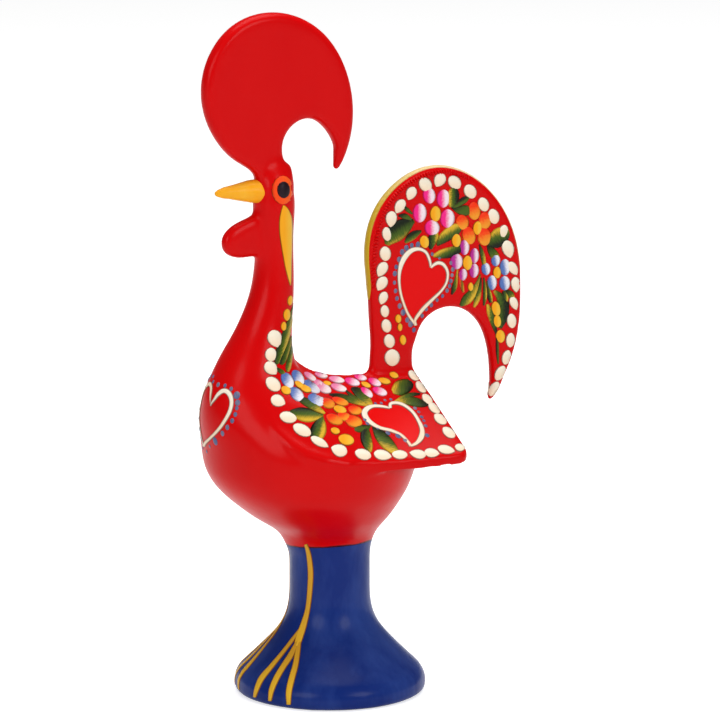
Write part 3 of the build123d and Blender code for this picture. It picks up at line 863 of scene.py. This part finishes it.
breast_far_half = [
    (-7.3, 311.7, 0.4), (-5.5, 318, 2.2), (-3.5, 324.5, 3.4), (-0.5, 329.5, 4.0), (4, 331.5, 4.2),
    (9, 330, 4.2), (14.5, 325, 4.0), (18.5, 316, 3.6), (21, 305, 3.2), (22.5, 293, 3.0), (23.5, 281, 3.0),
    (23, 271, 3.0), (21.2, 264.1, 2.6),
]
heart_lines.line(breast_half, breast_part, cream, 90, 1.2, 48, 1.0, (None,))
heart_lines.line(breast_far_half, whole_picture, cream, 90, 1.2, 48, 0.6, (from_the_front,))
heart_lines.done()

# Inside the hearts of tail and wings the red is a second, brighter coat. Each
# vertex of the skin that lies within an outline takes it.
heart_coat = bird_skin.data.attributes.new("heart_coat", "FLOAT", "POINT")
heart_bounds = []
for halves, part in outlined_hearts:
    left, right = ([sample[:2] for sample in smooth_line(enlarged(half, part), 30)] for half in halves)
    heart_bounds.append(left + right[::-1])


def inside(point, outline):
    """Whether a picture point lies inside a closed outline."""
    within = False
    for (x, y), (next_x, next_y) in zip(outline, outline[1:] + outline[:1]):
        if (y > point[1]) != (next_y > point[1]):
            if point[0] < x + (point[1] - y) / (next_y - y) * (next_x - x):
                within = not within
    return within


hearts_low, hearts_high, hearts_front = 0.090, 0.175, -0.015
coat_reach = 0.0015
away_turn = camera_turn.inverted()
for vertex in bird_skin.data.vertices:
    if not hearts_low <= vertex.co.z <= hearts_high or vertex.co.x < hearts_front:
        continue
    place = Vector((vertex.co.x, -abs(vertex.co.y), vertex.co.z))
    seen_from = away_turn @ (place - camera_place)
    enlarge = -lens_data.lens / seen_from.z / lens_data.sensor_width * picture_side
    point = (picture_side / 2 + seen_from.x * enlarge, picture_side / 2 - seen_from.y * enlarge)
    for outline in heart_bounds:
        if inside(point, outline):
            hit = landing(point, None)[0]
            if hit and (hit - place).length < coat_reach:
                heart_coat.data[vertex.index].value = 1.0

# The small blue-grey touches round the hearts: a row of points on the clay, with
# one small dome of paint set on each and turned to the way the clay faces there.
touch_values = (("facing", "FLOAT_VECTOR"), ("run", "FLOAT_VECTOR"), ("length", "FLOAT"), ("width", "FLOAT"))


def set_touches():
    tree = new_group("set_touches", "GeometryNodeTree", [
        ("Geometry", "Geometry", None), ("Height", "Float", 0.0002), ("Size spread", "Float", 0.15),
        ("Seed", "Int", 3), ("Paint", "Material", None),
    ], [("Geometry", "Geometry", None)])
    given, result = added(tree, "NodeGroupInput"), added(tree, "NodeGroupOutput")
    read = {}
    for layer, kind in touch_values:
        read[layer] = added(tree, "GeometryNodeInputNamedAttribute", {"Name": layer}, data_type=kind)
    dome = added(tree, "GeometryNodeMeshIcoSphere", {"Radius": 1.0, "Subdivisions": 3})
    upright = added(tree, "FunctionNodeAlignRotationToVector", axis="Z")
    along = added(tree, "FunctionNodeAlignRotationToVector", axis="X", pivot_axis="Z")
    size = added(tree, "CombineXYZ")
    least = added(tree, "Math", {0: 1.0}, operation="SUBTRACT")
    most = added(tree, "Math", {0: 1.0}, operation="ADD")
    chance = added(tree, "FunctionNodeRandomValue")
    varied = added(tree, "VectorMath", operation="SCALE")
    place = added(tree, "GeometryNodeInstanceOnPoints")
    real = added(tree, "GeometryNodeRealizeInstances")
    smooth = added(tree, "GeometryNodeSetShadeSmooth")
    paint = added(tree, "GeometryNodeSetMaterial")
    wired(tree, [
        (given, "Geometry", place, "Points"), (dome, place, "Instance"),
        (read["facing"], "Attribute", upright, "Vector"), (upright, along, "Rotation"),
        (read["run"], "Attribute", along, "Vector"), (along, place, "Rotation"),
        (read["length"], "Attribute", size, "X"), (read["width"], "Attribute", size, "Y"),
        (given, "Height", size, "Z"), (given, "Size spread", least, 1), (given, "Size spread", most, 1),
        (given, "Seed", chance, "Seed"), (size, varied, "Vector"), (least, chance, "Min"),
        (most, chance, "Max"), (chance, "Value", varied, "Scale"), (varied, place, "Scale"),
        (place, real, "Geometry"), (real, smooth, 0), (smooth, paint, "Geometry"),
        (given, "Paint", paint, "Material"), (paint, result, "Geometry"),
    ])
    return tree


touches = set_touches()


def laid_touches(name, places, material, height, spread, seed):
    """One dome on every place, as places of point, facing, run, half length and half width."""
    data = bpy.data.meshes.new(name)
    data.from_pydata([place[0] for place in places], [], [])
    for at, (layer, kind) in enumerate(touch_values, 1):
        values = data.attributes.new(layer, kind, "POINT").data
        for value, place in zip(values, places):
            setattr(value, "value" if kind == "FLOAT" else "vector", place[at])
    row = in_scene(name + "_places", data)
    step = row.modifiers.new("touches", "NODES")
    step.node_group = touches
    given = {item.name: item.identifier for item in touches.interface.items_tree if item.in_out == "INPUT"}
    for socket, value in (("Height", height), ("Size spread", spread), ("Seed", seed), ("Paint", material)):
        step[given[socket]] = value
    piece = in_scene(name, worked_mesh(row, name))
    bpy.data.objects.remove(row)
    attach(piece, "root")


tail_blue_places = [
    (385, 1085, 22), (365, 1050, 24), (345, 1025, 24), (320, 980, 26), (300, 940, 24), (283, 895, 20),
    (275, 850, 20), (268, 800, 20), (270, 745, 22), (278, 705, 20), (296, 660, 26), (315, 615, 30),
    (340, 590, 26), (372, 575, 26), (410, 570, 24), (495, 628, 16), (540, 650, 18), (610, 680, 22),
    (620, 720, 22), (615, 755, 20), (608, 790, 20), (600, 820, 20), (585, 848, 20), (558, 880, 20),
    (525, 905, 20), (490, 935, 18), (460, 960, 18), (435, 1000, 18),
]
wing_blue_places = [
    (785, 545, 22), (800, 570, 22), (870, 605, 24), (940, 635, 28), (1010, 655, 28), (1060, 685, 26),
    (1125, 465, 22), (1150, 490, 22), (1170, 525, 22), (1185, 550, 22), (1197, 585, 24), (1207, 650, 28),
    (855, 432, 20), (895, 430, 20), (920, 410, 20), (960, 405, 20),
]
breast_blue_part = (190, 370, 17.43)
breast_blue_places = [
    (405, 205, 44), (490, 255, 66), (610, 272, 50), (718, 328, 60), (815, 440, 96), (830, 570, 66),
    (815, 665, 66), (790, 775, 66), (735, 885, 66), (650, 1000, 66), (565, 1105, 66), (440, 1240, 104),
    (345, 1330, 54), (295, 1420, 44),
]
breast_far_blue_places = [
    (4, 339, 3.4), (12, 338, 3.4), (19.5, 333, 3.6), (25, 324, 3.8), (28, 313, 3.8), (29.5, 302, 3.8),
    (31, 291, 3.8), (31.5, 280, 3.8), (30.5, 270, 3.6), (27.5, 261, 3.2),
]
touch_share, touch_narrowing = 0.72, 0.85
blue_touches = []
for points, part, sides in (
        (tail_blue_places, tail_part, both_sides), (wing_blue_places, wing_part, both_sides),
        (breast_blue_places, breast_blue_part, (None,)),
        (breast_far_blue_places, whole_picture, (from_the_front,))):
    for side in sides:
        for x, y, size in enlarged(points, part):
            hit, facing, _ = landing((x, y), side)
            if hit:
                half = size * picture_step * touch_share
                blue_touches.append((hit, facing, (0, 0, 1), half, half * touch_narrowing))
blue_grey_paint = varnished("blue_grey_paint", shade(92, 102, 142), shade(146, 138, 152), 420.0, 1.0,
                            0.35, 0.2)
laid_touches("blue_grey_touches", blue_touches, blue_grey_paint, height=0.00028,
             spread=0.18, seed=5)

# The rim of the tail: pressed with a tool edge into a row of short ridges while
# the clay was soft, then edged with a gold brush.
crimp_line = [
    (146, 850), (142, 700), (155, 570), (180, 452), (224, 345), (288, 260), (367, 194), (460, 149),
    (560, 131), (645, 139), (722, 172),
]
crimp_slant = 0.45
crimp_count = 62
crimp_half_length, crimp_half_width = 0.00100, 0.00044
crimps = []
crimp_samples = smooth_line(enlarged(crimp_line, tail_part), crimp_count)
for side in both_sides:
    for before, sample, after in zip(crimp_samples[:-2], crimp_samples[1:-1], crimp_samples[2:]):
        hit, facing, _ = landing(sample, side)
        low, high = landing(before, side)[0], landing(after, side)[0]
        if hit and low and high:
            run = (high - low).normalized()
            crimps.append((hit, facing, run.cross(facing) + run * crimp_slant, crimp_half_length,
                           crimp_half_width))
laid_touches("tail_crimps", crimps, bird_red, height=0.00075, spread=0.10, seed=8)

tail_centre = Vector((0.047, 0, 0.150))
edge_start, edge_end, edge_steps, edge_reach = 193.0, -8.0, 96, 0.046
edge_section = ((-0.0017, 0.1), (-0.0013, 0.8), (0, 1), (0.0013, 0.8), (0.0017, 0.1))
edge_taper = 20
edge_hair_length, edge_hair_width = 30, 400
gold_rows = Marks("tail_gold_edge", petal_brush, "gold_paint")
rows = []
for step in range(edge_steps):
    share = step / (edge_steps - 1)
    angle = math.radians(edge_start + (edge_end - edge_start) * share)
    outward = Vector((math.cos(angle), 0, math.sin(angle)))
    row = []
    taper = min(1, edge_taper * share + 0.1, edge_taper * (1 - share) + 0.1) ** 0.5
    for across, rise in edge_section:
        across *= taper
        start = tail_centre + outward * edge_reach + Vector((0, across, 0))
        hit, facing, _, _ = clay_ground.ray_cast(start, -outward)
        row.append(gold_rows.vertex(hit + facing * paint_height * rise, gold_edge, 1.5 * share - 0.1, 0,
                                    share * edge_hair_length, across * edge_hair_width))
    hit, facing, _, _ = clay_ground.ray_cast(tail_centre + outward * edge_reach, -outward)
    row.append(gold_rows.vertex(hit - facing * paint_sink, gold_edge, 1.5 * share - 0.1, 0,
                                share * edge_hair_length, 0))
    rows.append(row)
gold_rows.skin(rows)
gold_rows.done()

# The bird's legs: a gold line down each side of the foot that parts into three
# toes at the rim.
leg_part = (220, 530, 6.817)
leg_lines = Marks("leg_lines", thick_paint, "gold_paint")
leg_paths = [
    [(584, 98, 22), (596, 132, 28), (607, 180, 34), (618, 290, 38), (612, 420, 36), (598, 540, 34),
        (572, 640, 44), (545, 720, 50), (524, 790, 44)],
    [(560, 655, 14), (500, 740, 26), (430, 832, 28), (350, 930, 34), (284, 1010, 40), (252, 1080, 34),
        (236, 1140, 22)],
    [(548, 720, 20), (484, 850, 40), (432, 930, 40), (385, 1010, 42), (352, 1090, 38), (340, 1165, 24)],
    [(548, 720, 20), (530, 830, 36), (515, 920, 40), (490, 1010, 44), (470, 1100, 42), (468, 1190, 30)],
]
for points in leg_paths:
    leg_lines.line(points, leg_part, ochre, 0, 0.9, 30)
leg_lines.done()
